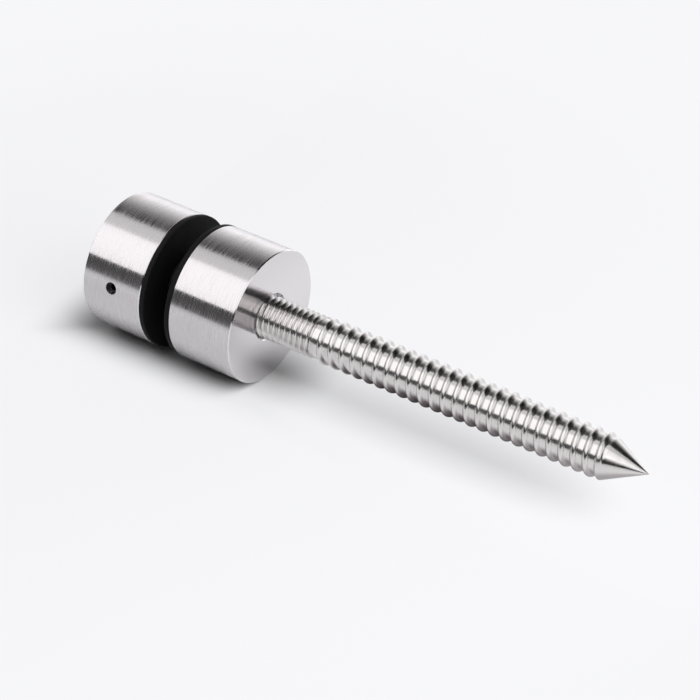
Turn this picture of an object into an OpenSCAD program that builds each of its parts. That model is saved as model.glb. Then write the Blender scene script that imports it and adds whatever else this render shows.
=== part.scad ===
// Glass panel standoff: a cap and a base clamp the glass between two gaskets on a hanger bolt.
// The bolt's axis lies along Y, with +Y into the wall and the wall's face at Y = 0.

/* [Standoff] */
// Outside diameter of the cap, the base and the gaskets
standoff_d = 38; // [30:1:60]
// Length of the base, from the wall to the rear gasket
base_len = 20; // [14:0.5:40]
// Length of the cap
cap_len = 19; // [16:0.5:30]
// Chamfer turned on every outer edge of the cap and the base
edge_chamfer = 0.4; // [0.2:0.1:1]

/* [Glass clamp] */
// Gap between the two gaskets, where the glass goes
glass_gap = 7; // [6:0.5:14]
// Thickness of each gasket
gasket_t = 1.5; // [1:0.25:3]
// Radius on the outer edges of each gasket
gasket_round = 0.35; // [0.1:0.05:0.5]
// Wall of the bush that keeps the glass off the bolt
bush_wall = 2; // [1:0.25:4]

/* [Machine thread] */
// Nominal diameter of the machine thread
bolt_d = 12; // [8:1:16]
// Pitch of the machine thread
machine_pitch = 1.75; // [1.25:0.25:2]
// Length of machine thread that shows beyond the base
machine_len = 16.5; // [8:0.5:30]
// Length of bolt screwed into the cap
cap_grip = 14; // [12:0.5:15]
// Chamfer on the bolt's inner end
bolt_chamfer = 1; // [0.5:0.25:1.5]
// Plain neck between the two threads
neck_len = 2; // [1:0.5:6]
// Diameter of the plain neck
neck_d = 11.2; // [10.8:0.1:11.6]

/* [Wood thread] */
// Outside diameter of the wood thread
lag_d = 12.7; // [8:0.1:18]
// Depth of the wood thread
lag_depth = 1.05; // [0.8:0.05:2]
// Pitch of the wood thread
lag_pitch = 3.5; // [3:0.25:6]
// Width of the flat on the wood thread's crest
lag_crest = 0.3; // [0.2:0.1:0.8]
// Distance from the wall's face to the bolt's tip
lag_reach = 115.5; // [60:0.5:180]
// Included angle of the turned tip
tip_angle = 55; // [40:1:90]

/* [Set screw] */
// Outside diameter of the set screw in the cap's side
set_screw_d = 3.4; // [3:0.1:5]
// Size across the flats of its hexagon socket
socket_af = 1.8; // [1.5:0.1:2.5]
// Depth of its hexagon socket
socket_depth = 2.2; // [1.5:0.1:3]
// How far the set screw sits below the cap's surface
set_screw_recess = 1.2; // [0.5:0.1:3]
// Direction of the set screw about the axis, from +X towards +Z
set_screw_angle = 13; // [0:1:90]

/* [Fits] */
// Radial clearance of the bolt in the cap, the bush and the base
thread_clearance = 0.05; // [0.02:0.01:0.1]
// Radial clearance of the set screw in its hole
set_screw_clearance = 0.05; // [0.02:0.01:0.1]
// Gap round the soft gaskets and at the ends of the bush
soft_clearance = 0.3; // [0.2:0.05:0.5]
// Chamfer at the mouths of the tapped holes
mouth_chamfer = 0.8; // [0.5:0.1:1.2]
// Free depth of the cap's blind hole past the bolt's end
bore_spare = 1; // [0.5:0.25:3]

/* [Hidden] */

$fn = 96;

// Radii
standoff_r = standoff_d / 2;
bolt_r = bolt_d / 2;
bore_r = bolt_r + thread_clearance;
bush_r = bore_r + bush_wall;
gasket_hole_r = bush_r + soft_clearance;
neck_r = neck_d / 2;
lag_r = lag_d / 2;
lag_root_r = lag_r - lag_depth;

// Places along the axis, from the wall's face outwards
base_front = -base_len;
rear_seat = base_front - gasket_t;
front_seat = rear_seat - glass_gap;
cap_back = front_seat - gasket_t;
cap_front = cap_back - cap_len;
set_screw_y = (cap_back + cap_front) / 2;
bolt_end = cap_back - cap_grip;

// An ISO 60 degree thread has a triangle height of this many pitches
iso_height = sqrt(3) / 2;
// Depth of the machine thread, with its flat crest and flat root
machine_depth = 5 / 8 * iso_height * machine_pitch;
machine_root_r = bolt_r - machine_depth;
machine_crest = machine_pitch / 8;

// Flank angle of both threads, and facets in one turn
flank_angle = 30;
thread_sides = 24;
// A thread rises to its full depth over this much of a turn
run_in_turns = 0.5;
// Overlap that joins the lengths of the bolt into one solid
bolt_join = 0.5;
// The thread that shows starts this far inside the base
thread_start = -2 * machine_pitch;

// Turns a shape built about +Z to stand along +Y, from the place y
module along_y(y) {
    translate([0, y, 0])
        rotate([-90, 0, 0])
            children();
}

// Points the shape built about +Z outwards through the cap's side, from the axis
module along_set_screw() {
    translate([0, set_screw_y, 0])
        rotate([0, 90 - set_screw_angle, 0])
            children();
}

// A round bar with a chamfer on both end edges
module turned_bar(r, len, chamfer) {
    rotate_extrude()
        polygon([
            [0, 0], [r - chamfer, 0], [r, chamfer],
            [r, len - chamfer], [r - chamfer, len], [0, len]
        ]);
}

// A tapped hole's wall with a chamfered mouth at its far end, to be cut away
module tapped_hole(r, len, chamfer) {
    rotate_extrude()
        polygon([
            [0, 0], [r, 0], [r, len - chamfer],
            [r + 2 * chamfer, len + chamfer], [0, len + chamfer]
        ]);
}

// A thread about +Z between the heights z0 and z1, as one closed surface.
// Four stations a pitch follow the helix, and a flat ring closes each end.
// Past tip_z the stock is turned to a cone with its point at tip_z, so the thread runs out into it.
module threaded_bar(z0, z1, root_r, crest_r, pitch, crest_w, tip_z = undef, fade_out = true) {
    sides = thread_sides;
    flank_w = (crest_r - root_r) * tan(flank_angle);
    stations = [0, flank_w, flank_w + crest_w, 2 * flank_w + crest_w];
    per_turn = len(stations);
    turns = floor((z1 - z0) / pitch) - 1;
    first_z = z0 + (z1 - z0 - (turns + 1) * pitch) / 2;
    last = per_turn * turns;

    function is_crest(m) = m % per_turn == 1 || m % per_turn == 2;
    function turn_at(i, m) = floor(m / per_turn) + i / sides;
    function height(i, m) = first_z + pitch * turn_at(i, m) + stations[m % per_turn];
    function fade(turn) = max(0, min(1, turn / run_in_turns, fade_out ? (turns - turn) / run_in_turns : 1));
    function cone_r(z) = is_undef(tip_z) ? crest_r : (tip_z - z) * tan(tip_angle / 2);
    function radius(i, m) = is_crest(m) ? root_r + (crest_r - root_r) * fade(turn_at(i, m)) : root_r;
    function at(i, r, z) = [r * cos(360 * i / sides), r * sin(360 * i / sides), z];

    low_ring = [for (i = [0:sides - 1]) at(i, min(root_r, cone_r(z0)), z0)];
    high_ring = [for (i = [0:sides - 1]) at(i, min(root_r, cone_r(z1)), z1)];
    wall = [
        for (m = [0:last], i = [0:sides - 1])
            let (z = height(i, m)) at(i, min(radius(i, m), cone_r(z)), z)
    ];
    high_point = [0, 0, is_undef(tip_z) ? z1 : tip_z];
    points = concat(low_ring, high_ring, [[0, 0, z0], high_point], wall);

    low_centre = 2 * sides;
    high_centre = low_centre + 1;
    wall_start = high_centre + 1;
    seam = sides - 1;
    function low(i) = i % sides;
    function high(i) = sides + i % sides;
    // A column past the last one is the first column, a whole turn further on
    function w(i, m) = wall_start + (i < sides ? m * sides + i : (m + per_turn) * sides);
    function quad(a, b, c, d) = [[a, b, c], [a, c, d]];

    side_faces = [
        for (i = [0:seam], m = [0:(i < seam ? last : last - per_turn) - 1])
            each quad(w(i, m), w(i, m + 1), w(i + 1, m + 1), w(i + 1, m))
    ];
    low_faces = [for (i = [0:seam - 1]) each quad(low(i), w(i, 0), w(i + 1, 0), low(i + 1))];
    high_faces = [
        for (i = [0:seam - 1]) each quad(w(i, last), high(i), high(i + 1), w(i + 1, last))
    ];
    low_seam = concat(
        [[low(seam), w(seam, 0), w(0, per_turn)], [low(seam), w(0, 0), low(0)]],
        [for (m = [0:per_turn - 1]) [low(seam), w(0, m + 1), w(0, m)]]
    );
    high_seam = concat(
        [[high(0), w(0, last), w(seam, last - per_turn)], [high(0), w(seam, last), high(seam)]],
        [for (m = [last - per_turn:last - 1]) [high(0), w(seam, m), w(seam, m + 1)]]
    );
    end_faces = [
        for (i = [0:seam]) each [[low_centre, low(i), low(i + 1)], [high_centre, high(i + 1), high(i)]]
    ];
    polyhedron(
        points,
        concat(side_faces, low_faces, high_faces, low_seam, high_seam, end_faces),
        convexity = 10
    );
}

// Solid stainless cap, with a blind tapped hole for the bolt and a cross hole for the set screw
module cap() {
    color("silver")
        difference() {
            along_y(cap_front) turned_bar(standoff_r, cap_len, edge_chamfer);
            along_y(bolt_end - bore_spare)
                tapped_hole(bore_r, cap_grip + bore_spare, mouth_chamfer);
            along_set_screw() cylinder(r = set_screw_d / 2 + set_screw_clearance, h = standoff_d);
        }
}

// Hexagon socket set screw that locks the cap on the bolt
module set_screw() {
    start = bore_r + soft_clearance;
    end = standoff_r - set_screw_recess;
    tip_flat = set_screw_d / 5;
    color("dimgray")
        along_set_screw()
            difference() {
                translate([0, 0, start])
                    turned_bar(set_screw_d / 2, end - start, tip_flat);
                translate([0, 0, end - socket_depth])
                    cylinder(d = socket_af / cos(30), h = socket_depth + 1, $fn = 6);
            }
}

// Rubber gasket with rounded outer edges, from the place y outwards
module gasket(y) {
    steps = 6;
    inner = gasket_hole_r;
    outer = standoff_r;
    r = gasket_round;
    low_arc = [for (i = [0:steps]) let (a = -90 + 90 * i / steps) [outer - r + r * cos(a), r + r * sin(a)]];
    high_arc = [for (i = [0:steps]) let (a = 90 * i / steps) [outer - r + r * cos(a), gasket_t - r + r * sin(a)]];
    color([0.08, 0.08, 0.08])
        along_y(y)
            rotate_extrude()
                polygon(concat([[inner, 0]], low_arc, high_arc, [[inner, gasket_t]]));
}

module front_gasket() {
    gasket(cap_back);
}

module rear_gasket() {
    gasket(rear_seat);
}

// Plastic bush round the bolt, through the hole in the glass
module glass_bush() {
    len = base_front - cap_back - 2 * soft_clearance;
    color([0.12, 0.12, 0.12])
        along_y(cap_back + soft_clearance)
            difference() {
                cylinder(r = bush_r, h = len);
                translate([0, 0, -1]) cylinder(r = bore_r, h = len + 2);
            }
}

// Solid stainless base, tapped right through
module base() {
    color("silver")
        difference() {
            along_y(base_front) turned_bar(standoff_r, base_len, edge_chamfer);
            along_y(base_front - 1) tapped_hole(bore_r, base_len + 1, mouth_chamfer);
            along_y(base_front + mouth_chamfer)
                mirror([0, 0, 1]) tapped_hole(bore_r, mouth_chamfer, mouth_chamfer);
        }
}

// One-piece hanger bolt: machine thread, plain neck, wood thread and turned point
module hanger_bolt() {
    neck_start = machine_len;
    neck_end = machine_len + neck_len;
    cone_start = lag_reach - lag_root_r / tan(tip_angle / 2);
    color("gainsboro")
        union() {
            // the length inside the cap, the bush and the base is a plain cylinder at the thread's crest
            along_y(bolt_end)
                difference() {
                    turned_bar(bolt_r, thread_start - bolt_end + bolt_chamfer, bolt_chamfer);
                    translate([0, 0, thread_start - bolt_end])
                        cylinder(r = bolt_d, h = 2 * bolt_chamfer);
                }
            along_y(0)
                threaded_bar(thread_start - bolt_join, neck_start + bolt_join, machine_root_r, bolt_r,
                    machine_pitch, machine_crest);
            along_y(neck_start) turned_bar(neck_r, neck_len, (neck_r - machine_root_r) / 2);
            along_y(0)
                threaded_bar(neck_end - bolt_join, cone_start + lag_pitch * 1.2, lag_root_r, lag_r,
                    lag_pitch, lag_crest, tip_z = lag_reach, fade_out = false);
        }
}

cap();
set_screw();
front_gasket();
glass_bush();
rear_gasket();
base();
hanger_bolt();
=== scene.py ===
"""Glass panel standoff: a brushed stainless cap and base, black gaskets and a hanger bolt.

Every piece is built at its own place, with the bolt's axis along Y and the wall's face at Y = 0.
"""
import math

import bmesh
import bpy
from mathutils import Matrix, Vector


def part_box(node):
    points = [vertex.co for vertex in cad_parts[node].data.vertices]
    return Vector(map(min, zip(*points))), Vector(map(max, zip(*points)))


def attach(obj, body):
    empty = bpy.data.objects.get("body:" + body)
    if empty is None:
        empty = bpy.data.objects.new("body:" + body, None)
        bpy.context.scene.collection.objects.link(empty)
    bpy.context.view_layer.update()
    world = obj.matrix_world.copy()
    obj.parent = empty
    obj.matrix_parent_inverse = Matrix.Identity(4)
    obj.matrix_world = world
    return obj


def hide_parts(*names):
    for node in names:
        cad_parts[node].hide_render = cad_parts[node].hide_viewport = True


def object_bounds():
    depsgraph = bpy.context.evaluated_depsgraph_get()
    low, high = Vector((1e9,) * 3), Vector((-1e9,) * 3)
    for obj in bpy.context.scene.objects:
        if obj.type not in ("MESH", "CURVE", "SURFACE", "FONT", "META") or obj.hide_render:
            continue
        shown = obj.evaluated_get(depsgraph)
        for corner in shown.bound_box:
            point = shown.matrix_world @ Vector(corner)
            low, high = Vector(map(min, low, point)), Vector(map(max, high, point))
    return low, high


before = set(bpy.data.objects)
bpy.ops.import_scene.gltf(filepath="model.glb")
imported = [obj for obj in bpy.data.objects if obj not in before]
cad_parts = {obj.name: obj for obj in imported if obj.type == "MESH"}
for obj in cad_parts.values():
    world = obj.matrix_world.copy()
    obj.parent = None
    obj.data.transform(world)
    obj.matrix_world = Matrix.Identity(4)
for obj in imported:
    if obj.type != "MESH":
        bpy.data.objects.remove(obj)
cad_low, cad_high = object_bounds()

MM = 0.001


# ---------------------------------------------------------------- sizes, from the frame

def node_ends(node):
    """The lowest and highest Y of a node."""
    low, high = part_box(node)
    return low[1], high[1]


def node_radius(node):
    """The outside radius of a node turned about the Y axis."""
    low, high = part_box(node)
    return (high[2] - low[2]) / 2


cap_front, cap_back = node_ends("cap")
base_front, wall_face = node_ends("base")
front_pad_low, front_pad_high = node_ends("front_gasket")
rear_pad_low, rear_pad_high = node_ends("rear_gasket")
bush_low, bush_high = node_ends("glass_bush")
bolt_end, bolt_tip = node_ends("hanger_bolt")

disc_radius = node_radius("cap")
gasket_radius = node_radius("front_gasket")
bush_radius = node_radius("glass_bush")
wood_crest = node_radius("hanger_bolt")

hole_clearance = 0.05 * MM
edge_chamfer = 0.25 * MM
countersink = 0.8 * MM
hole_past_bolt = 1.0 * MM

gasket_round = 0.35 * MM
gasket_hole = bush_radius + 0.3 * MM
bush_round = 0.2 * MM
mouth_chamfer = 0.1 * MM

machine_crest = 6.0 * MM
machine_pitch = 1.75 * MM
machine_start = wall_face + 0.7 * MM
machine_lead_in = 1.0 * MM
bore_radius = machine_crest + hole_clearance
neck_radius = 5.6 * MM
neck_start = wall_face + 16.5 * MM
neck_end = neck_start + 2.0 * MM
neck_chamfer = 0.3 * MM
wood_pitch = 3.5 * MM
wood_start = wall_face + 25.05 * MM
wood_depth = 0.9 * MM
wood_root = wood_crest - wood_depth
half_ridge = 0.31 * wood_pitch
tip_half_angle = math.radians(27.5)
point_flat = 0.1 * MM
thread_steps = 96

set_screw_radius = 1.7 * MM
set_screw_turn = math.radians(13)
set_screw_y = (cap_front + cap_back) / 2
set_screw_sunk = 1.2 * MM
set_screw_gap = 0.3 * MM
set_screw_chamfer = 0.25 * MM
socket_across_flats = 1.8 * MM
socket_depth = 2.2 * MM


# ---------------------------------------------------------------- modelling by hand, in code

def deselect_all():
    """Leaves nothing selected and nothing active."""
    bpy.ops.object.select_all(action="DESELECT")
    bpy.context.view_layer.objects.active = None


def pick(piece):
    """Selects one piece alone and makes it active."""
    deselect_all()
    piece.select_set(True)
    bpy.context.view_layer.objects.active = piece


def settle(piece):
    """Moves a piece's place and turn into its mesh."""
    pick(piece)
    bpy.ops.object.transform_apply(location=True, rotation=True, scale=True)


def turned_bar(radius, low, high, sides=256):
    """A round bar about the Y axis, from low to high."""
    deselect_all()
    bpy.ops.mesh.primitive_cylinder_add(
        vertices=sides,
        radius=radius,
        depth=high - low,
        end_fill_type="NGON",
        location=(0, (low + high) / 2, 0),
        rotation=(math.radians(90), 0, 0),
    )
    piece = bpy.context.object
    settle(piece)
    return piece


def select_faces(piece, wanted):
    """Selects the faces for which wanted(centre, normal) is true. The piece is in edit mode."""
    bpy.ops.mesh.select_mode(type="FACE")
    bpy.ops.mesh.select_all(action="DESELECT")
    shape = bmesh.from_edit_mesh(piece.data)
    for face in shape.faces:
        face.select = wanted(face.calc_center_median(), face.normal)
    bmesh.update_edit_mesh(piece.data)


def select_edges(piece, wanted):
    """Selects the edges for which wanted(one end, other end) is true. The piece is in edit mode."""
    bpy.ops.mesh.select_mode(type="EDGE")
    bpy.ops.mesh.select_all(action="DESELECT")
    shape = bmesh.from_edit_mesh(piece.data)
    for edge in shape.edges:
        if wanted(edge.verts[0].co, edge.verts[1].co):
            edge.select = True
    shape.select_flush_mode()
    bmesh.update_edit_mesh(piece.data)


def off_axis(point):
    """Distance of a point from the Y axis."""
    return math.hypot(point.x, point.z)


def bevel_rims(piece, radius, width, segments):
    """Bevels the two outer rims of a round bar."""
    bpy.ops.object.mode_set(mode="EDIT")
    select_edges(
        piece,
        lambda a, b: abs(a.y - b.y) < 1e-7
        and off_axis(a) > radius * 0.99
        and off_axis(b) > radius * 0.99,
    )
    bpy.ops.mesh.bevel(offset=width, segments=segments, affect="EDGES")
    bpy.ops.object.mode_set(mode="OBJECT")


def sink_hole(piece, face_y, outward, face_radius, hole_radius, chamfer):
    """Insets a hole's mouth into an end face, with its chamfer. The hole's floor stays selected."""
    bpy.ops.object.mode_set(mode="EDIT")
    select_faces(piece, lambda c, n: n.y * outward > 0.99 and abs(c.y - face_y) < 1e-6)
    bpy.ops.mesh.inset(thickness=face_radius - hole_radius - chamfer, depth=0)
    bpy.ops.mesh.inset(thickness=chamfer, depth=-chamfer)
    bpy.ops.object.mode_set(mode="OBJECT")


def open_through(piece, low, high, face_radius, hole_radius, chamfer):
    """Opens a hole along the Y axis right through a round bar, with a chamfer at each mouth."""
    sink_hole(piece, high, 1, face_radius, hole_radius, chamfer)
    sink_hole(piece, low, -1, face_radius, hole_radius, chamfer)
    bpy.ops.object.mode_set(mode="EDIT")
    select_faces(piece, lambda c, n: abs(n.y) > 0.99 and off_axis(c) < hole_radius / 2)
    bpy.ops.mesh.bridge_edge_loops()
    bpy.ops.object.mode_set(mode="OBJECT")


def cut(piece, cutter, operation="DIFFERENCE"):
    """Cuts, joins or trims a piece with another, which is then removed."""
    pick(piece)
    tool = piece.modifiers.new("cut", "BOOLEAN")
    tool.operation = operation
    tool.solver = "EXACT"
    tool.object = cutter
    bpy.ops.object.modifier_apply(modifier=tool.name)
    bpy.data.objects.remove(cutter, do_unlink=True)


def tidy_mesh(piece, angle):
    """Merges doubles, points the normals outwards and smooths all but the edges past an angle."""
    pick(piece)
    bpy.ops.object.mode_set(mode="EDIT")
    bpy.ops.mesh.select_all(action="SELECT")
    bpy.ops.mesh.remove_doubles(threshold=1e-7)
    bpy.ops.mesh.normals_make_consistent(inside=False)
    bpy.ops.object.mode_set(mode="OBJECT")
    bpy.ops.object.shade_smooth_by_angle(angle=math.radians(angle))
    even = piece.modifiers.new("even", "WEIGHTED_NORMAL")
    even.keep_sharp = True
    bpy.ops.object.modifier_apply(modifier=even.name)


def hand_over(piece, name, body, node, finish, end_finish=None):
    """Names a finished piece, gives it its finish and puts it in place of its CAD node.

    An end finish goes on the faces that look mostly along the axis, the chamfers among them.
    """
    piece.name = name
    piece.data.name = name
    piece.data.materials.clear()
    piece.data.materials.append(finish)
    if end_finish:
        piece.data.materials.append(end_finish)
        for face in piece.data.polygons:
            face.material_index = 1 if abs(face.normal.y) > 0.5 else 0
    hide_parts(node)
    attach(piece, body)


# ---------------------------------------------------------------- materials

def linear(colour):
    """An sRGB hex colour as linear RGBA."""
    parts = [int(colour[i:i + 2], 16) / 255 for i in (1, 3, 5)]
    return [c / 12.92 if c <= 0.04045 else ((c + 0.055) / 1.055) ** 2.4 for c in parts] + [1.0]


def add(tree, kind, inputs=None, **settings):
    """Adds a node with its settings. An input is a value, or a socket to link from."""
    node = tree.nodes.new(kind)
    for name, value in settings.items():
        setattr(node, name, value)
    for name, value in (inputs or {}).items():
        if isinstance(value, bpy.types.NodeSocket):
            tree.links.new(value, node.inputs[name])
        else:
            node.inputs[name].default_value = value
    return node


def new_material(name):
    """A new material, its node tree and its output, which is the tree's only node."""
    material = bpy.data.materials.new(name)
    material.use_nodes = True
    tree = material.node_tree
    tree.nodes.clear()
    output = tree.nodes.new("ShaderNodeOutputMaterial")
    return material, tree, output


def lathe_coordinates(tree, along_scale, round_scale):
    """Coordinates for marks that run round the Y axis: fine along the profile, long round it."""
    place = add(tree, "ShaderNodeTexCoord").outputs["Object"]
    parts = add(tree, "ShaderNodeSeparateXYZ", {"Vector": place})
    x, y, z = (parts.outputs[i] for i in "XYZ")
    flat = add(tree, "ShaderNodeCombineXYZ", {"X": x, "Z": z})
    radius = add(tree, "ShaderNodeVectorMath", {0: flat.outputs[0]}, operation="LENGTH")
    along = add(tree, "ShaderNodeMath", {0: y, 1: radius.outputs["Value"]}, operation="ADD")
    marks = [
        add(tree, "ShaderNodeMath", {0: value, 1: scale}, operation="MULTIPLY").outputs[0]
        for value, scale in ((x, round_scale), (along.outputs[0], along_scale), (z, round_scale))
    ]
    return add(tree, "ShaderNodeCombineXYZ", {"X": marks[0], "Y": marks[1], "Z": marks[2]}).outputs[0]


def groove_direction(tree):
    """The direction of marks that run round the Y axis, in world space, for a shader's tangent."""
    place = add(tree, "ShaderNodeTexCoord").outputs["Object"]
    around = add(tree, "ShaderNodeVectorMath", {0: place, 1: (0, 1, 0)}, operation="CROSS_PRODUCT")
    world = add(
        tree,
        "ShaderNodeVectorTransform",
        {"Vector": around.outputs[0]},
        vector_type="VECTOR",
        convert_from="OBJECT",
        convert_to="WORLD",
    )
    return add(tree, "ShaderNodeVectorMath", {0: world.outputs[0]}, operation="NORMALIZE").outputs[0]


def finish_steel(tree, output, colour, marks, roughness, depth, pull):
    """Steel with marks that run round the Y axis.

    They roughen it between two values, dent it by a depth and pull its shine across them.
    """
    rough = add(
        tree,
        "ShaderNodeMapRange",
        {
            "Value": marks,
            "From Min": roughness["from"][0],
            "From Max": roughness["from"][1],
            "To Min": roughness["to"][0],
            "To Max": roughness["to"][1],
        },
    )
    bump = add(tree, "ShaderNodeBump", {"Height": marks, "Strength": 1.0, "Distance": depth})
    steel = add(
        tree,
        "ShaderNodeBsdfPrincipled",
        {
            "Base Color": colour,
            "Metallic": 1.0,
            "Roughness": rough.outputs[0],
            "Anisotropic": pull,
            "Anisotropic Rotation": 0.25,
            "Tangent": groove_direction(tree),
            "Normal": bump.outputs[0],
        },
    )
    tree.links.new(steel.outputs[0], output.inputs["Surface"])


def brushed_stainless():
    """AISI 304 stainless steel, turned and then brushed round its axis with fine abrasive.

    The brushing gives a satin shine that spreads along the axis in soft bands, broken by streaks.
    """
    material, tree, output = new_material("brushed_304_stainless")
    # streaks 0.25 mm apart and 9 mm long, several times coarser than real ones, so that they show
    streak_at = lathe_coordinates(tree, 1 / (0.25 * MM), 1 / (9 * MM))
    streaks = add(
        tree,
        "ShaderNodeTexNoise",
        {"Vector": streak_at, "Scale": 1.0, "Detail": 2.0, "Roughness": 0.5},
    ).outputs["Fac"]
    colour = add(
        tree,
        "ShaderNodeMix",
        {"Factor": streaks, 6: linear("#B5B1B3"), 7: linear("#EDE9EB")},
        data_type="RGBA",
    ).outputs[2]
    roughness = {"from": (0.35, 0.65), "to": (0.12, 0.32)}
    finish_steel(tree, output, colour, streaks, roughness, 0.012 * MM, 1.0)
    return material


def faced_stainless():
    """AISI 304 stainless steel, faced on a lathe.

    Its fine rings smear what it mirrors outwards, and it looks smoother than the brushed side.
    """
    material, tree, output = new_material("faced_304_stainless")
    # rings 0.3 mm apart, twice the real feed, so that they show
    ring_at = lathe_coordinates(tree, 1 / (0.3 * MM), 1 / (40 * MM))
    rings = add(
        tree,
        "ShaderNodeTexNoise",
        {"Vector": ring_at, "Scale": 1.0, "Detail": 2.0, "Roughness": 0.5},
    ).outputs["Fac"]
    roughness = {"from": (0.3, 0.7), "to": (0.09, 0.12)}
    finish_steel(tree, output, linear("#DEDBDD"), rings, roughness, 0.0006 * MM, 1.0)
    return material


def bright_stainless():
    """A2 stainless steel with rolled threads, cleaned bright.

    Rolling leaves it smooth and shiny, with sharp lights and darks on every turn of the thread.
    """
    material, tree, output = new_material("bright_a2_stainless")
    # faint rolling marks, about 0.5 mm wide and 4 mm long
    mark_at = lathe_coordinates(tree, 1 / (0.5 * MM), 1 / (4 * MM))
    marks = add(
        tree,
        "ShaderNodeTexNoise",
        {"Vector": mark_at, "Scale": 1.0, "Detail": 3.0, "Roughness": 0.55},
    ).outputs["Fac"]
    roughness = {"from": (0.3, 0.7), "to": (0.15, 0.24)}
    finish_steel(tree, output, linear("#D2CFCE"), marks, roughness, 0.0008 * MM, 0.4)
    return material


def dark_steel():
    """Alloy steel with a black oxide finish, as on small set screws: dark, with a dull shine."""
    material, tree, output = new_material("black_oxide_steel")
    # the oxide's grain is drawn 0.4 mm across, coarser than the real one, so that it shows
    place = add(tree, "ShaderNodeTexCoord").outputs["Object"]
    grain = add(tree, "ShaderNodeTexNoise", {"Vector": place, "Scale": 1 / (0.4 * MM), "Detail": 3.0})
    rough = add(
        tree,
        "ShaderNodeMapRange",
        {"Value": grain.outputs["Fac"], "To Min": 0.25, "To Max": 0.5},
    )
    steel = add(
        tree,
        "ShaderNodeBsdfPrincipled",
        {"Base Color": linear("#343335"), "Metallic": 1.0, "Roughness": rough.outputs[0]},
    )
    tree.links.new(steel.outputs[0], output.inputs["Surface"])
    return material


def black_rubber():
    """EPDM rubber, moulded: matt black with a faint grain."""
    material, tree, output = new_material("epdm_rubber")
    # the mould's grain, about 0.35 mm across
    place = add(tree, "ShaderNodeTexCoord").outputs["Object"]
    grain = add(
        tree,
        "ShaderNodeTexNoise",
        {"Vector": place, "Scale": 1 / (0.35 * MM), "Detail": 4.0, "Roughness": 0.6},
    )
    rough = add(
        tree,
        "ShaderNodeMapRange",
        {"Value": grain.outputs["Fac"], "To Min": 0.55, "To Max": 0.8},
    )
    bump = add(
        tree,
        "ShaderNodeBump",
        {"Height": grain.outputs["Fac"], "Strength": 0.5, "Distance": 0.01 * MM},
    )
    rubber = add(
        tree,
        "ShaderNodeBsdfPrincipled",
        {
            "Base Color": linear("#060607"),
            "Roughness": rough.outputs[0],
            "IOR": 1.5,
            "Specular IOR Level": 0.2,
            "Normal": bump.outputs[0],
        },
    )
    tree.links.new(rubber.outputs[0], output.inputs["Surface"])
    return material


def black_nylon():
    """Nylon 6, turned from black rod: satin, with fine rings."""
    material, tree, output = new_material("black_nylon")
    # rings 0.3 mm apart, twice the real feed, so that they show
    ring_at = lathe_coordinates(tree, 1 / (0.3 * MM), 1 / (15 * MM))
    rings = add(tree, "ShaderNodeTexNoise", {"Vector": ring_at, "Scale": 1.0, "Detail": 2.0})
    rough = add(
        tree,
        "ShaderNodeMapRange",
        {"Value": rings.outputs["Fac"], "To Min": 0.35, "To Max": 0.5},
    )
    nylon = add(
        tree,
        "ShaderNodeBsdfPrincipled",
        {"Base Color": linear("#1B1B1D"), "Roughness": rough.outputs[0], "IOR": 1.53},
    )
    tree.links.new(nylon.outputs[0], output.inputs["Surface"])
    return material


# ---------------------------------------------------------------- pieces

def make_base():
    """The base: a turned bar, tapped right through, with its edges chamfered."""
    piece = turned_bar(disc_radius, base_front, wall_face)
    bevel_rims(piece, disc_radius, edge_chamfer, 1)
    face_radius = disc_radius - edge_chamfer
    open_through(piece, base_front, wall_face, face_radius, bore_radius, countersink)
    tidy_mesh(piece, 25)
    return piece


def make_cap():
    """The cap: a turned bar with a blind tapped hole, and a cross hole for its set screw."""
    piece = turned_bar(disc_radius, cap_front, cap_back, 384)
    bevel_rims(piece, disc_radius, edge_chamfer, 1)
    sink_hole(piece, cap_back, 1, disc_radius - edge_chamfer, bore_radius, countersink)
    bpy.ops.object.mode_set(mode="EDIT")
    depth = cap_back - bolt_end + hole_past_bolt - countersink
    bpy.ops.mesh.extrude_region_move(TRANSFORM_OT_translate={"value": (0, -depth, 0)})
    bpy.ops.object.mode_set(mode="OBJECT")
    deselect_all()
    # the drill runs from inside the bolt's hole to past the cap's side
    across = Vector((math.cos(set_screw_turn), 0, math.sin(set_screw_turn)))
    centre = across * disc_radius * 0.75 + Vector((0, set_screw_y, 0))
    bpy.ops.mesh.primitive_cylinder_add(
        vertices=96,
        radius=set_screw_radius + hole_clearance,
        depth=disc_radius,
        location=centre,
        rotation=(0, math.radians(90) - set_screw_turn, 0),
    )
    drill = bpy.context.object
    settle(drill)
    cut(piece, drill)
    tidy_mesh(piece, 25)
    return piece


def make_gasket(low, high):
    """A rubber gasket: a flat ring with rounded outer edges."""
    piece = turned_bar(gasket_radius, low, high)
    bevel_rims(piece, gasket_radius, gasket_round, 5)
    open_through(piece, low, high, gasket_radius - gasket_round, gasket_hole, mouth_chamfer)
    tidy_mesh(piece, 40)
    return piece


def make_bush():
    """The nylon bush that keeps the glass off the bolt."""
    piece = turned_bar(bush_radius, bush_low, bush_high, 128)
    bevel_rims(piece, bush_radius, bush_round, 2)
    open_through(piece, bush_low, bush_high, bush_radius - bush_round, bore_radius, mouth_chamfer)
    tidy_mesh(piece, 25)
    return piece


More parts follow.
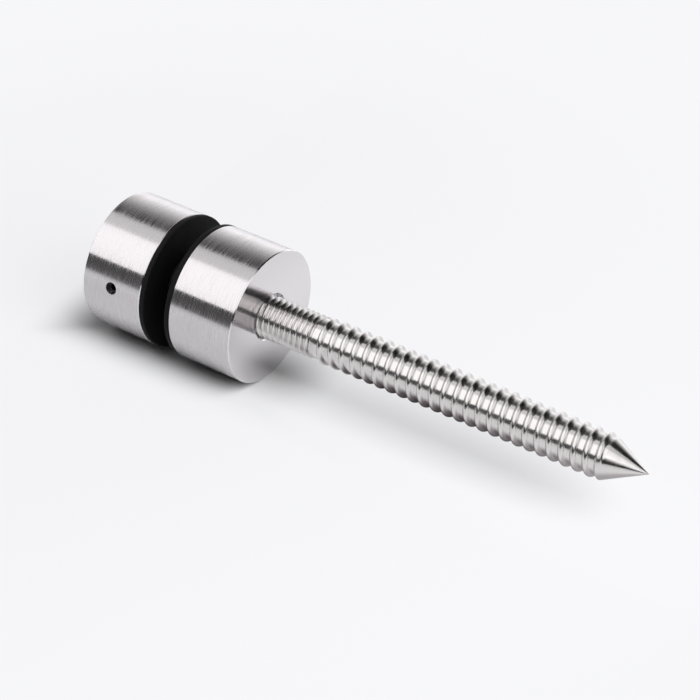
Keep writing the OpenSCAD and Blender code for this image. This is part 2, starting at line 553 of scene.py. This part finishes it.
def make_set_screw():
    """The set screw: a short bar with a chamfered rim and a hexagon socket."""
    outer = disc_radius - set_screw_sunk
    inner = bore_radius + set_screw_gap
    piece = turned_bar(set_screw_radius, inner, outer, 96)
    bevel_rims(piece, set_screw_radius, set_screw_chamfer, 2)
    deselect_all()
    bpy.ops.mesh.primitive_cylinder_add(
        vertices=6,
        radius=socket_across_flats / 2 / math.cos(math.radians(30)),
        depth=2 * socket_depth,
        location=(0, outer, 0),
        rotation=(math.radians(90), 0, 0),
    )
    key = bpy.context.object
    settle(key)
    cut(piece, key)
    piece.rotation_euler = (0, 0, math.radians(-90))
    settle(piece)
    piece.rotation_euler = (0, -set_screw_turn, 0)
    piece.location = (0, set_screw_y, 0)
    settle(piece)
    tidy_mesh(piece, 30)
    return piece


def thread_skin(profile, pitch, low, high, start_y):
    """A threaded bar: one pitch of profile, as (along, radius) points, screwed about the Y axis.

    On the +X side of the bar, a turn of the profile starts at start_y. The bar is flat at both
    ends, low and high.
    """
    # a turn or more past the bar at each end, to be cut off flat
    turns = int((high - low) / pitch) + 4
    start = low - 2 * pitch + (start_y - low) % pitch
    # a plane merged to one point, which is then drawn out along the profile
    deselect_all()
    bpy.ops.mesh.primitive_plane_add(size=1 * MM)
    piece = bpy.context.object
    bpy.ops.object.mode_set(mode="EDIT")
    bpy.ops.mesh.select_mode(type="VERT")
    bpy.ops.mesh.select_all(action="SELECT")
    bpy.ops.mesh.merge(type="CENTER")
    bpy.ops.transform.translate(value=(profile[0][1], start + profile[0][0], 0))
    for before, after in zip(profile, profile[1:]):
        step = (after[1] - before[1], after[0] - before[0], 0)
        bpy.ops.mesh.extrude_vertices_move(TRANSFORM_OT_translate={"value": step})
    bpy.ops.object.mode_set(mode="OBJECT")
    screw = piece.modifiers.new("thread", "SCREW")
    screw.axis = "Y"
    screw.angle = math.radians(360)
    screw.screw_offset = pitch
    screw.iterations = turns
    screw.steps = thread_steps
    screw.render_steps = thread_steps
    screw.use_merge_vertices = True
    screw.merge_threshold = 1e-6
    pick(piece)
    bpy.ops.object.modifier_apply(modifier=screw.name)
    bpy.ops.object.mode_set(mode="EDIT")
    bpy.ops.mesh.select_all(action="SELECT")
    bpy.ops.mesh.remove_doubles(threshold=1e-6)
    bpy.ops.mesh.normals_make_consistent(inside=False)
    for edge, outward in ((low, -1), (high, 1)):
        bpy.ops.mesh.select_all(action="SELECT")
        bpy.ops.mesh.bisect(
            plane_co=(0, edge, 0),
            plane_no=(0, outward, 0),
            use_fill=True,
            clear_outer=True,
            threshold=1e-7,
        )
    bpy.ops.object.mode_set(mode="OBJECT")
    return piece


def lathe_turned(outline):
    """A solid of revolution about the Y axis from (along, radius) points."""
    piece = turned_bar(outline[0][1], outline[0][0], outline[1][0], 192)
    bpy.ops.object.mode_set(mode="EDIT")
    select_faces(piece, lambda c, n: n.y > 0.99)
    for step, (before, after) in enumerate(zip(outline, outline[1:])):
        if step > 0:
            bpy.ops.mesh.extrude_region_move(
                TRANSFORM_OT_translate={"value": (0, after[0] - before[0], 0)}
            )
        size = after[1] / before[1]
        bpy.ops.transform.resize(value=(size, 1, size))
    bpy.ops.object.mode_set(mode="OBJECT")
    return piece


def machine_profile():
    """One pitch of ISO 60 degree thread, as (along, radius) points.

    The corners at its root and its crest are eased in two steps, as rolling leaves them.
    """
    # as deep as a nut's thread reaches, 0.54 of the pitch, with a crest an eighth of it wide
    depth = 0.54 * machine_pitch
    root = machine_crest - depth
    flank = depth * math.tan(math.radians(30))
    crest = machine_pitch / 8
    floor = machine_pitch - crest - 2 * flank
    return [
        (0, root),
        (0.16 * flank, root + 0.10 * depth),
        (0.86 * flank, root + 0.90 * depth),
        (flank + 0.1 * crest, machine_crest - 0.01 * depth),
        (flank + 0.9 * crest, machine_crest - 0.01 * depth),
        (1.14 * flank + crest, root + 0.90 * depth),
        (1.84 * flank + crest, root + 0.10 * depth),
        (2 * flank + crest, root),
        (2 * flank + crest + floor / 2, root - 0.05 * depth),
        (machine_pitch, root),
    ]


def wood_profile():
    """One pitch of the rolled wood thread: a smooth ridge on a plain root, as (along, radius) points."""
    points = 18
    # the two powers round the crest and ease the ridge into the root
    ridge = []
    for i in range(points + 1):
        share = 2 * i / points - 1
        rise = (1 - abs(share) ** 2.3) ** 1.5
        ridge.append((wood_pitch / 2 + half_ridge * share, wood_root + wood_depth * rise))
    return [(0, wood_root), *ridge, (wood_pitch, wood_root)]


def make_bolt():
    """The hanger bolt in one piece: machine thread, plain neck, wood thread and turned point.

    Each thread is trimmed to a turned outline that runs a hair outside its crest and narrows to
    about its root where the thread runs out.
    """
    overlap = 0.4 * MM
    machine_skin = machine_crest + 0.02 * MM
    wood_skin = wood_crest + 0.02 * MM
    machine = thread_skin(
        machine_profile(), machine_pitch, bolt_end, neck_start + overlap, machine_start
    )
    rod = lathe_turned([
        (bolt_end, machine_crest - machine_lead_in),
        (bolt_end + machine_lead_in, machine_skin),
        (neck_start, machine_skin),
        (neck_start + overlap, machine_crest - 0.88 * MM),
    ])
    cut(machine, rod, "INTERSECT")
    wood = thread_skin(wood_profile(), wood_pitch, neck_end - overlap, bolt_tip, wood_start)
    cone_length = wood_skin / math.tan(tip_half_angle)
    point = lathe_turned([
        (neck_end - overlap, neck_radius - 0.4 * MM),
        (neck_end + 0.5 * MM, wood_skin),
        (bolt_tip - cone_length, wood_skin),
        (bolt_tip - point_flat, point_flat * math.tan(tip_half_angle)),
    ])
    cut(wood, point, "INTERSECT")
    neck = turned_bar(neck_radius, neck_start - overlap, neck_end + overlap, 192)
    bevel_rims(neck, neck_radius, neck_chamfer, 2)
    cut(machine, neck, "UNION")
    cut(machine, wood, "UNION")
    tidy_mesh(machine, 35)
    return machine


brushed = brushed_stainless()
faced = faced_stainless()
bright = bright_stainless()
blackened = dark_steel()
rubber = black_rubber()
nylon = black_nylon()

hand_over(make_cap(), "standoff_cap", "cap", "cap", brushed, faced)
hand_over(make_base(), "standoff_base", "base", "base", brushed, faced)
hand_over(
    make_gasket(front_pad_low, front_pad_high),
    "front_rubber_gasket", "front_pad", "front_gasket", rubber,
)
hand_over(
    make_gasket(rear_pad_low, rear_pad_high),
    "rear_rubber_gasket", "rear_pad", "rear_gasket", rubber,
)
hand_over(make_bush(), "nylon_bush", "bolt", "glass_bush", nylon)
hand_over(make_set_screw(), "socket_set_screw", "set_screw", "set_screw", blackened)
hand_over(make_bolt(), "threaded_hanger_bolt", "bolt", "hanger_bolt", bright)


# ---------------------------------------------------------------- studio

def make_floor():
    """A pale sheet of paper that the object lies on.

    Far off it is a plain white glow to the camera. Nearer, the glow is painted light laid over a
    part of the paper's own shading, and under the object over none of it. The steel mirrors the glow
    far off, painted brighter towards the backdrop, and in part in front of the base's face; elsewhere
    it mirrors the paper, which a painted shadow turns grey in a strip under the bolt.
    """
    deselect_all()
    bpy.ops.mesh.primitive_plane_add(size=6, location=(0, 0, cad_low[2]))
    floor = bpy.context.object
    floor.name = "studio_floor"
    settle(floor)
    material, tree, output = new_material("white_sweep_paper")
    place = add(tree, "ShaderNodeTexCoord").outputs["Object"]
    places = add(tree, "ShaderNodeSeparateXYZ", {"Vector": place}).outputs
    along = places["Y"]
    off_centre = add(tree, "ShaderNodeMath", {0: places["X"]}, operation="ABSOLUTE").outputs[0]
    from_standoff = add(
        tree,
        "ShaderNodeMapping",
        {"Vector": place, "Location": (0, -(cap_front + wall_face) / 2, 0)},
    ).outputs[0]
    away = add(tree, "ShaderNodeVectorMath", {0: from_standoff}, operation="LENGTH").outputs["Value"]

    # each share grows smoothly from 0 at one distance to its full value at another. Most are shares
    # of a white glow: evenly white far off, and nearer the object painted light that lightens the
    # paper's own shadows by differing amounts
    shares = {}
    for name, distance, start, end, full in (
        ("past_cap", along, cap_front - 2 * MM, cap_front - 22 * MM, 0.85),
        ("past_base", along, wall_face, wall_face + 20 * MM, 0.6),
        ("past_sides", off_centre, 9 * MM, 24 * MM, 0.8),
        ("far", away, 80 * MM, 200 * MM, 1.0),
        # clear_of_base and near_base bound a painted glow on the floor in front of the base's face,
        # which only the steel mirrors; near_base and beside_bolt also bound the painted shadow under the
        # bolt
        ("clear_of_base", along, wall_face + 2 * MM, wall_face + 14 * MM, 0.55),
        ("near_base", along, wall_face + 34 * MM, wall_face + 16 * MM, 1.0),
        ("beside_bolt", off_centre, 6 * MM, 24 * MM, 1.0),
    ):
        shares[name] = add(
            tree,
            "ShaderNodeMapRange",
            {"Value": distance, "From Min": start, "From Max": end, "To Max": full},
            interpolation_type="SMOOTHSTEP",
        ).outputs[0]
    for name, first, second, operation in (
        ("past_ends", "past_cap", "past_base", "MAXIMUM"),
        ("near", "past_ends", "past_sides", "MAXIMUM"),
        ("painted_glow_at_foot", "clear_of_base", "near_base", "MULTIPLY"),
        ("in_steel", "far", "painted_glow_at_foot", "MAXIMUM"),
        ("clear_of_painted_shadow", "beside_bolt", "near_base", "MAXIMUM"),
    ):
        shares[name] = add(
            tree,
            "ShaderNodeMath",
            {0: shares[first], 1: shares[second]},
            operation=operation,
        ).outputs[0]
    # to the camera: the glow far off, and near the object painted light mixed over the paper, whose own
    # shading shows in full only right under the object
    to_camera = add(
        tree,
        "ShaderNodeMix",
        {0: shares["far"], 2: shares["near"], 3: 1.0},
        data_type="FLOAT",
    ).outputs[0]

    # who looks decides which share counts: the camera, or the steel that mirrors the floor
    ray = add(tree, "ShaderNodeLightPath").outputs
    seen_by = [
        add(tree, "ShaderNodeMath", {0: looks, 1: share}, operation="MULTIPLY").outputs[0]
        for looks, share in (
            (ray["Is Camera Ray"], to_camera),
            (ray["Is Glossy Ray"], shares["in_steel"]),
        )
    ]
    seen = add(tree, "ShaderNodeMath", {0: seen_by[0], 1: seen_by[1]}, operation="ADD").outputs[0]

    # mirrored in the steel, the white glow is painted light, brighter towards the backdrop, and a
    # painted shadow greys the paper under the bolt
    painted_glow_slope = add(
        tree,
        "ShaderNodeMapRange",
        {"Value": places["X"], "From Min": -0.3, "From Max": 0.3, "To Min": 1.4, "To Max": 0.8},
    ).outputs[0]
    strength = add(
        tree,
        "ShaderNodeMix",
        {0: ray["Is Glossy Ray"], 2: 1.0, 3: painted_glow_slope},
        data_type="FLOAT",
    ).outputs[0]
    unmirrored = add(tree, "ShaderNodeMath", {0: 1.0, 1: ray["Is Glossy Ray"]}, operation="SUBTRACT")
    # outside the painted shadow: everywhere to the camera, and to the steel beside the bolt and near the
    # base
    no_painted_shadow = add(
        tree,
        "ShaderNodeMath",
        {0: shares["clear_of_painted_shadow"], 1: unmirrored.outputs[0]},
        operation="MAXIMUM",
    ).outputs[0]
    # painted shadow: to the steel alone, the paper is painted grey in a strip under the bolt, past the
    # base
    painted_shadow_tone = add(
        tree,
        "ShaderNodeMix",
        {"Factor": no_painted_shadow, 6: linear("#7C7477"), 7: linear("#F7F7F9")},
        data_type="RGBA",
    ).outputs[2]
    paper = add(tree, "ShaderNodeBsdfDiffuse", {"Color": painted_shadow_tone}).outputs[0]
    white = add(
        tree,
        "ShaderNodeEmission",
        {"Color": linear("#F7F7F9"), "Strength": strength},
    ).outputs[0]
    mixed = add(tree, "ShaderNodeMixShader", {0: seen, 1: paper, 2: white})
    tree.links.new(mixed.outputs[0], output.inputs["Surface"])
    floor.data.materials.append(material)


def make_softbox(name, centre, aim, width, length, radiance, lights):
    """A rectangular softbox that faces a point. Its radiance is how bright its face is.

    It lights "matt" surfaces, or shows as a mirrored panel in "gloss".
    """
    lamp = bpy.data.lights.new(name, "AREA")
    lamp.shape = "RECTANGLE"
    lamp.size = width
    lamp.size_y = length
    lamp.energy = radiance * math.pi * width * length
    box = bpy.data.objects.new(name, lamp)
    bpy.context.collection.objects.link(box)
    box.location = centre
    box.rotation_euler = (Vector(aim) - Vector(centre)).to_track_quat("-Z", "Y").to_euler()
    box.visible_camera = False
    box.visible_diffuse = lights == "matt"
    box.visible_glossy = lights == "gloss"


def make_world():
    """A dim studio, with a white backdrop behind the object that fades upwards.

    The backdrop and the dim room light the object and show in its steel. The camera sees white.
    """
    world = bpy.data.worlds.new("studio")
    bpy.context.scene.world = world
    world.use_nodes = True
    tree = world.node_tree
    tree.nodes.clear()
    output = tree.nodes.new("ShaderNodeOutputWorld")
    direction = add(tree, "ShaderNodeTexCoord").outputs["Generated"]
    directions = add(tree, "ShaderNodeSeparateXYZ", {"Vector": direction}).outputs
    behind = add(
        tree,
        "ShaderNodeVectorMath",
        {0: direction, 1: (-0.9, -0.44, 0)},
        operation="DOT_PRODUCT",
    )
    side = add(
        tree,
        "ShaderNodeMapRange",
        {"Value": behind.outputs["Value"], "From Min": 0.4, "From Max": 0.85},
        interpolation_type="SMOOTHSTEP",
    )
    fade = add(
        tree,
        "ShaderNodeMapRange",
        {"Value": directions["Z"], "From Min": 0.0, "From Max": 0.72, "To Min": 1.57, "To Max": 0.0},
    )
    glow = add(tree, "ShaderNodeMath", {0: side.outputs[0], 1: fade.outputs[0]}, operation="MULTIPLY")
    ambient = add(
        tree,
        "ShaderNodeMapRange",
        {"Value": directions["Y"], "From Min": -0.1, "From Max": 0.35, "To Min": 0.09, "To Max": 0.015},
    )
    level = add(tree, "ShaderNodeMath", {0: glow.outputs[0], 1: ambient.outputs[0]}, operation="ADD")
    ray = add(tree, "ShaderNodeLightPath")
    white_light = linear("#FFFFFF")
    studio = add(tree, "ShaderNodeBackground", {"Color": white_light, "Strength": level.outputs[0]})
    white = add(tree, "ShaderNodeBackground", {"Color": linear("#F7F7F9"), "Strength": 1.0})
    mixed = add(
        tree,
        "ShaderNodeMixShader",
        {0: ray.outputs["Is Camera Ray"], 1: studio.outputs[0], 2: white.outputs[0]},
    )
    tree.links.new(mixed.outputs[0], output.inputs["Surface"])


def make_camera():
    """The camera, above and to the side of the bolt's tip."""
    azimuth = math.radians(124.34)
    elevation = math.radians(37.55)
    distance = 670.3 * MM
    aim = Vector((-7.6 * MM, wall_face + 20.6 * MM, -7.1 * MM))
    away = Vector((
        math.sin(azimuth) * math.cos(elevation),
        -math.cos(azimuth) * math.cos(elevation),
        math.sin(elevation),
    ))
    lens = bpy.data.cameras.new("camera")
    lens.sensor_width = 36
    lens.lens = 128.57
    lens.clip_start = 0.01
    camera = bpy.data.objects.new("camera", lens)
    bpy.context.collection.objects.link(camera)
    camera.location = aim + away * distance
    camera.rotation_euler = (-away).to_track_quat("-Z", "Y").to_euler()
    bpy.context.scene.camera = camera


make_floor()
# two panels overhead, one just under the other: the broad white band along the steel
make_softbox("side_softbox", (0.78, -0.75, 0.9), (0.78, -0.75, 0), 2.1, 3.2, 0.79, "gloss")
make_softbox("side_softbox_core", (0.93, -0.72, 0.85), (0.93, -0.72, 0), 1.61, 3.0, 0.64, "gloss")
# a low panel past the tip, for the flanks of the threads that face it
make_softbox("end_softbox", (0.25, 0.9, 0.5), (0, 0, 0), 1.4, 0.54, 1.15, "gloss")
# the key light, which lights the floor and the rubber and casts the soft shadows
make_softbox("key_softbox", (0.12, 0.64, 0.63), (0, 0, 0), 0.6, 0.75, 7.9, "matt")
# the steel throws no bright patches on the floor, which would come out as noise
bpy.context.scene.cycles.caustics_reflective = False
make_world()
make_camera()

bpy.context.scene.view_settings.view_transform = "Standard"
